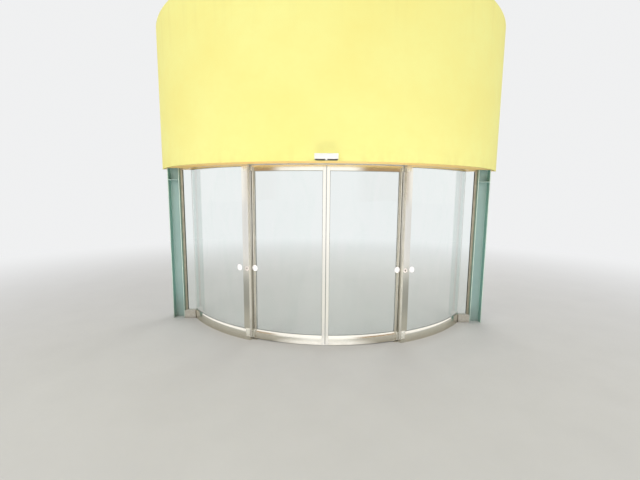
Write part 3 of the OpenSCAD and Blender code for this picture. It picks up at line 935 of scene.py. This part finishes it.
# %% Polished shoe covers
def domed_cover(start, end, radius, low, high):
    """a pressed cover on a curved face: high in the middle, rolled down at the rim"""
    across, dome, sheet, roll = 13, 0.0018, 0.0006, 0.003
    rows = [0.0, 0.0006, 0.0016, roll]
    rows = rows + [high - low - v for v in reversed(rows)]
    points, faces = [], []
    for layer in (0, 1):
        for z in rows:
            rolled = min(1.0, min(z, high - low - z) / roll)
            for i in range(across):
                t = i / (across - 1)
                bulge = 1.0 - (2 * t - 1) ** 2
                lift = math.sqrt(rolled) * (sheet * min(1.0, bulge * 4) + dome * bulge)
                points.append(on_curve(
                    start + (end - start) * t, radius + (lift if layer else -0.0004), low + z))
    size = len(rows) * across
    for j in range(len(rows) - 1):
        for i in range(across - 1):
            a = j * across + i
            faces.append((a, a + 1, a + 1 + across, a + across))
    rim = [*range(across)] + [j * across + across - 1 for j in range(1, len(rows))]
    rim += [size - 1 - i for i in range(1, across)] + [j * across for j in range(len(rows) - 2, 0, -1)]
    return points, two_sided(faces, rim, size)


shoe_lift = 0.003
for side, sign in sides:
    for name, body, face, angles, heights in (
        ("shoe_cover_", "frame", side_face, (23.44, 24.82), ((0.047, 0.135), (1.884, 1.940))),
        ("leaf_shoe_cover_", "leaf_" + side, leaf_face, (23.02, 24.23), ((0.014, 0.102), (1.886, 1.942))),
    ):
        start, end = (sign * a for a in angles)
        parts = [domed_cover(start, end, face + shoe_lift, low, high) for low, high in heights]
        make_piece(name + side, joined(parts), steel_shoe, body, 35)
print("shoe covers made")

# %% [markdown]
# ## Screws
# The polished shoes, the header cover and the strips inside the drum are held by countersunk screws.
# A screw head is a small turned dome with a round socket, and one turned profile makes both:
# its rings come up over the dome and go down again into the socket.

# %% Screws
head_size = 0.0042
head_profile = [(head_size * part, height) for part, height in (
    (1, -0.0002), (1, 0.0002), (0.9, 0.0006), (0.55, 0.0009), (0.52, 0.0008), (0.5, -0.0012),
    (0.05, -0.0014))]


def screws_on_curve(name, places, body):
    """several screws at (angle, radius, height, facing), where facing is 1 outward and -1 inward"""
    parts = []
    for angle, radius, height, facing in places:
        outward = outward_at(angle) * facing
        parts.append(lathe(on_curve(angle, radius, height), outward, head_profile, turn=random.uniform(0, 1)))
    make_piece(name, joined(parts), screw_steel, body, 30)
    print(name, len(parts))


leaf_shoe_angle, head_lift = 23.62, 0.0052
for side, sign in sides:
    places = [
        (sign * lock_angle + aside, side_face + head_lift, z, 1)
        for z in (0.068, 0.114, 1.902, 1.922) for aside in (-0.45, 0.45)]
    screws_on_curve("shoe_screws_" + side, places, "frame")
    places = [
        (sign * leaf_shoe_angle, leaf_face + head_lift, z, 1) for z in (0.034, 0.082, 1.900, 1.928)]
    screws_on_curve("leaf_shoe_screws_" + side, places, "leaf_" + side)
cover_inside, cover_screw_z = 1.990, (1.975, 2.095)
places = [(a, cover_inside, z, -1) for a in np.linspace(-50, 50, 21) for z in cover_screw_z]
screws_on_curve("header_cover_screws", places, "frame")

# %% [markdown]
# ## Seals between the moving parts
# A leaf closes against its neighbour with a soft lip, so a narrow dark line shows between the bright stiles.
# A brush on the back of the fixed stile keeps the draught out, beside a pale ribbed strip that keeps fingers
# out of the gap. Another brush sweeps the floor under each leaf, and a pale fringe hangs over the leaves.
# The brushes are combs of many thin tufts; each tuft leans a little differently.

# %% Seals between the moving parts
def tuft_row(count, place_of, depth, width, thick):
    """a row of thin leaning tufts; place_of(i) gives the root and the three directions"""
    parts = []
    for i in range(count):
        root, out, along, across = place_of(i)
        lean = along * random.uniform(-0.25, 0.25) * width + across * random.uniform(-0.3, 0.3) * thick
        tip = root + out * random.uniform(*depth) + lean
        points = [
            centre + along * (a * width * half) + across * (b * thick * half)
            for centre, half in ((root, 0.5), (tip, 0.32))
            for a, b in ((-1, -1), (1, -1), (1, 1), (-1, 1))
        ]
        parts.append((points, tube_faces(4, 2)))
    return joined(parts)


meeting_angle, brush_angle, strip_angle = 0.0843, 24.55, 23.4
seal_z, carrier_z, strip_z = (0.014, 1.940), (0.035, 1.930), (0.036, 1.930)
carrier = [
    (-0.0002, -0.005), (-0.0002, 0.005), (-0.005, 0.005), (-0.005, 0.0022), (-0.003, 0.0022),
    (-0.003, -0.0022), (-0.005, -0.0022), (-0.005, -0.005)]
for side, sign in sides:
    lip = [
        (0.006, 0.0), (-0.006, 0.0), (-0.0045, -sign * 0.0012), (-0.001, -sign * 0.0019),
        (0.001, -sign * 0.0019), (0.0045, -sign * 0.0012)]
    shape = stand_up(plan_on_curve(sign * meeting_angle, leaf_glass, lip), *seal_z)
    make_piece("meeting_seal_" + side, shape, rubber, "leaf_" + side)

    shape = stand_up(plan_on_curve(sign * brush_angle, side_inside, carrier), *carrier_z)
    make_piece("brush_carrier_" + side, shape, steel_header, "frame")
    outward, sideways = ways_at(sign * brush_angle)
    root = on_curve(sign * brush_angle, side_inside - 0.003, 0)
    count, low, high = 620, 0.037, 1.928

    def behind_stile(i):
        return root + up * (low + (high - low) * i / (count - 1)), -outward, up, sideways

    tufts = tuft_row(count, behind_stile, (0.0086, 0.0098), 0.0034, 0.0034)
    make_piece("stile_brush_" + side, tufts, brush_pale, "frame", 20)

    ribs = [(o, -sign * s) for o, s in (
        (-0.0175, 0.0), (-0.0172, 0.0008), (-0.0120, 0.0010), (-0.0095, 0.0022), (-0.0070, 0.0010),
        (0.0050, 0.0010), (0.0075, 0.0022), (0.0100, 0.0010), (0.0178, 0.0008), (0.0182, 0.0))]
    strip = stand_up(plan_on_curve(sign * strip_angle, side_glass, ribs), *strip_z)
    make_piece("stile_finger_strip_" + side, strip, seal_pale, "frame", 30)

    start, end, count = 1.2, 21.7, 320

    def under_leaf(i):
        angle = sign * (start + (end - start) * i / (count - 1))
        outward, sideways = ways_at(angle)
        return on_curve(angle, leaf_inside + 0.0055, 0.0102), -up, sideways, outward

    tufts = tuft_row(count, under_leaf, (0.0044, 0.0052), 0.0027, 0.0034)
    make_piece("leaf_brush_" + side, tufts, brush_fibre, "leaf_" + side, 20)
fringe = [(leaf_face + out, z) for out, z in (
    (0.0038, 1.9501), (0.0072, 1.9501), (0.0068, 1.9478), (0.0062, 1.9446), (0.0048, 1.9446),
    (0.0042, 1.9478))]
make_piece("header_fringe", run_along(fringe, -23.9, 23.9), seal_pale, "frame", 30)
print("seals made")

# %% [markdown]
# ## The ends and edges of the drum
# A metal stop bead closes the render along the lower edge, and a thin dark strip, painted shade for a groove,
# parts it from the soffit board.
# The lining inside is put together from boards, and narrow cover strips hide their joints.
# The header is closed at both ends by a plate, so nobody can reach into the track.

# %% The ends and edges of the drum
half_drum = 65.15
bead = [(drum_face + out, soffit_z + rise) for out, rise in (
    (-0.006, -0.0018), (0.0012, -0.0018), (0.0018, -0.0012), (0.0018, 0.005), (0.0002, 0.0062),
    (-0.004, 0.0005))]
shape = run_along(bead, -half_drum, half_drum)
make_piece("render_stop_bead", shape, yellow_render, "frame", 30)
# The groove is not cut: a thin dark strip under the skin stands for it as painted shade.
joint = [(skin_inside + out, soffit_z + rise) for out, rise in (
    (-0.003, -0.0005), (0.001, -0.0005), (0.001, 0.002), (-0.003, 0.002))]
make_piece("soffit_joint", run_along(joint, -half_drum, half_drum), rubber, "frame", 30)

strip_angles = np.linspace(-54, 54, 7)
strip_face = lining_face - 0.0018
half_strip, ease = 0.02, 0.0012
strip_low, strip_high, ring_low, ring_high = 2.13, 3.684, 2.885, 2.925
outline = [
    (0.0, -half_strip), (-0.0018, -half_strip + ease), (-0.0018, half_strip - ease), (0.0, half_strip)]
parts = [
    stand_up(plan_on_curve(angle, lining_face, outline), strip_low, strip_high) for angle in strip_angles]
ring = [
    (lining_face, ring_low), (strip_face, ring_low + ease), (strip_face, ring_high - ease),
    (lining_face, ring_high)]
parts.append(run_along(ring, -61.5, 61.5))
make_piece("lining_cover_strips", joined(parts), lining_board, "frame", 20)
places = [
    (along_curve(angle, lining_face, aside), strip_face, height, -1)
    for angle in strip_angles for height in np.arange(2.2, 3.66, 0.18) for aside in (-0.012, 0.012)]
screws_on_curve("lining_screws", places, "frame")

header_end = 52.97
end_thick = along_curve(0, lining_face, 0.0016)
inner, outer, low, high = 1.9915, 2.1385, 1.9515, 2.1155
plate = [(inner, low), (outer, low), (outer, high), (inner, high)]
for side, sign in sides:
    shape = run_along(plate, sign * header_end + sign * 0.002, sign * header_end + sign * end_thick)
    make_piece("header_end_plate_" + side, shape, steel_header, "frame", 30)
print("drum details made")

# %% [markdown]
# ## Welds on the posts
# Stiffener plates are welded across the posts just under the soffit. A weld is a bead of overlapping
# drops, so a round section that swells and shrinks a little along its way reads as one, even when painted.

# %% Welds on the posts
def weld(start, end, toward):
    """a fillet weld between two points; toward points out of the corner"""
    start, end, toward = Vector(start), Vector(end), Vector(toward).normalized()
    way = end - start
    count = max(8, int(way.length / 0.0022))
    side_way = way.normalized().cross(toward)
    points, ring_size, size = [], 7, 0.0045
    for i in range(count + 1):
        swell = 1.0 + 0.16 * math.sin(i * 2.3) + random.uniform(-0.08, 0.08)
        for k in range(ring_size):
            a = math.pi * k / (ring_size - 1)
            points.append(
                start + way * (i / count)
                + side_way * math.cos(a) * size * swell + toward * (math.sin(a) * size * 0.75 * swell))
    return points, tube_faces(ring_size, count + 1)


plate_low, plate_high = 1.801, 1.811
half_web, flange = 0.0035, 0.010
for side in ("left", "right"):
    low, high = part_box("post_" + side)
    middle = (low + high) / 2
    parts = []
    for face, edge in ((-1, low.y), (1, high.y)):
        web = middle.y + face * half_web
        for z, rising in ((plate_low, -1), (plate_high, 1)):
            y = web + face * 0.001
            parts.append(weld((low.x + 0.012, y, z), (high.x - 0.012, y, z), (0, face, rising)))
            for x, outward in ((low.x + flange, 1), (high.x - flange, -1)):
                x += outward * 0.001
                parts.append(weld(
                    (x, web + face * 0.008, z), (x, edge - face * 0.004, z), (outward, 0, rising)))
    make_piece("post_welds_" + side, joined(parts), green_steel, "frame", 60)
print("welds at", plate_low, "and", plate_high, "m")

# %% [markdown]
# ## Floor, background and light
# The floor is plain and pale and keeps the shadow of the door. Some metres away it fades into the backdrop,
# as a paper sweep does in a studio. Only rays that are seen find it; the door is lit by an even sky.
# Polished steel needs something to mirror, so reflections find a sky that is brightest straight ahead,
# duller behind and brown at both sides, over a floor that is brightest in the middle.
# Large soft lamps give the drum its roundness, and they stay out of the reflections.

# %% Floor, background and light
backdrop = (0.87, 0.875, 0.88, 1.0)
bright_floor = (1.22, 1.21, 1.18, 1.0)
bright_sky, front_sky, back_sky = (1.24, 1.23, 1.19, 1.0), (1.12, 1.11, 1.07, 1.0), (0.78, 0.77, 0.75, 1.0)
side_brown = (0.42, 0.28, 0.14, 1.0)
sky_strength = 0.74
floor_reach = 60.0

f = Finish("studio_floor", Specular_IOR_Level=0.3)
tone = f.mix(f.spread(f.noise(2.0, 4, 0.6), 0.3, 0.75), paint(206, 205, 202), paint(202, 201, 198))
x, y = f.split(f.place)[:2]
before = f.calc("SUBTRACT", axis_y, y)
from_axis = f.distance(x, before)
turned = f.unsigned(f.calc("ARCTAN2", x, before))
middle = f.spread(turned, 0.13, 0.30, 1.0, 0.0)
mirrored = f.mirrored_only()
# Only in reflections, the floor is painted shade near the door, painted sunlight further out and a painted
# bright patch in the middle.
mirror_tone = f.mix(f.spread(from_axis, 2.7, 3.3), paint(176, 173, 162), paint(150, 151, 144))
mirror_tone = f.mix(f.spread(from_axis, 4.6, 6.8), mirror_tone, paint(242, 240, 234))
mirror_tone = f.mix(middle, mirror_tone, paint(252, 252, 250))
f.wear(f.mix(mirrored, tone, mirror_tone), f.spread(f.noise(30.0, 3, 0.6), 0.3, 0.7, 0.5, 0.62))
fade = f.spread(f.distance(x, y), 2.6, 9.5, how="SMOOTHSTEP")
# In reflections the floor also glows: painted light in bands beside the middle, and a bright strip at the
# foot of the door.
lift = f.times(f.spread(turned, 0.28, 0.50, 1.0, 0.0), mirrored)
glow = f.node("Emission", Color=f.mix(lift, backdrop, bright_floor))
strip = f.times(middle, f.spread(from_axis, 2.34, 2.20), mirrored, 0.75)
f.show(f.mix_shader(f.calc("MAXIMUM", f.times(fade, f.seen()), strip), f.shader, glow))

mesh = bpy.data.meshes.new("studio_floor")
corners = [(x * floor_reach, y * floor_reach, 0) for x, y in ((-1, -1), (1, -1), (1, 1), (-1, 1))]
mesh.from_pydata(corners, [], [(0, 1, 2, 3)])
mesh.materials.append(f.material)
floor = put_in_scene("studio_floor", mesh)

scene = bpy.context.scene
scene.view_settings.view_transform = "Standard"
scene.world = bpy.data.worlds.new("studio")
scene.world.use_nodes = True
w = Recipe(scene.world.node_tree, "World")
x, y, z = w.split(w.node("TexCoord").outputs["Generated"])
turned = w.calc("ARCTAN2", x, w.times(y, -1.0))
round_way = w.unsigned(turned)
right_side, left_side = w.spread(turned, 0.36, 0.50), w.spread(w.times(turned, -1.0), 0.60, 0.74)
browned = w.times(
    w.calc("MAXIMUM", right_side, left_side), w.spread(round_way, 1.08, 1.0), w.spread(z, 0.22, 0.12))
hue = w.mix(w.spread(round_way, 1.6, 2.3), front_sky, back_sky)
hue = w.mix(w.spread(round_way, 0.28, 0.50), bright_sky, hue)
hue = w.mix(browned, hue, side_brown)
mirrored_sky = w.node("Background", Color=hue)
plain = w.node("Background", Color=backdrop)
sky = w.node("Background", Color=(1.0, 1.0, 1.0, 1.0), Strength=sky_strength)
w.show(w.mix_shader(w.seen(), sky, w.mix_shader(w.mirrored_only(), plain, mirrored_sky)))


def soft_lamp(name, place, target, size, power, colour=(1, 1, 1)):
    """a large flat lamp that looks at a point and stays out of reflections"""
    data = bpy.data.lights.new(name, "AREA")
    data.shape = "RECTANGLE"
    data.size, data.size_y = size
    data.energy = power
    data.color = colour
    lamp = put_in_scene(name, data)
    lamp.location = place
    lamp.rotation_euler = (Vector(target) - Vector(place)).to_track_quat("-Z", "Y").to_euler()
    lamp.visible_camera = lamp.visible_glossy = lamp.visible_transmission = False


soft_lamp("key_lamp", (-5.0, -5.5, 4.6), (0, -0.4, 2.2), (4.0, 4.0), 142, (1.0, 0.99, 0.97))
soft_lamp("fill_lamp", (5.3, -4.7, 3.6), (0, -0.4, 2.0), (4.0, 4.0), 92, (0.98, 0.99, 1.0))
soft_lamp("back_lamp", (1.5, 5.5, 4.6), (0, 0.2, 1.8), (4.0, 4.0), 110)
soft_lamp("bounce_lamp", (0.0, -1.30, 0.10), (0, -1.29, 2.0), (4.4, 0.7), 42, (1.0, 0.96, 0.87))
print("floor, background and lamps ready")
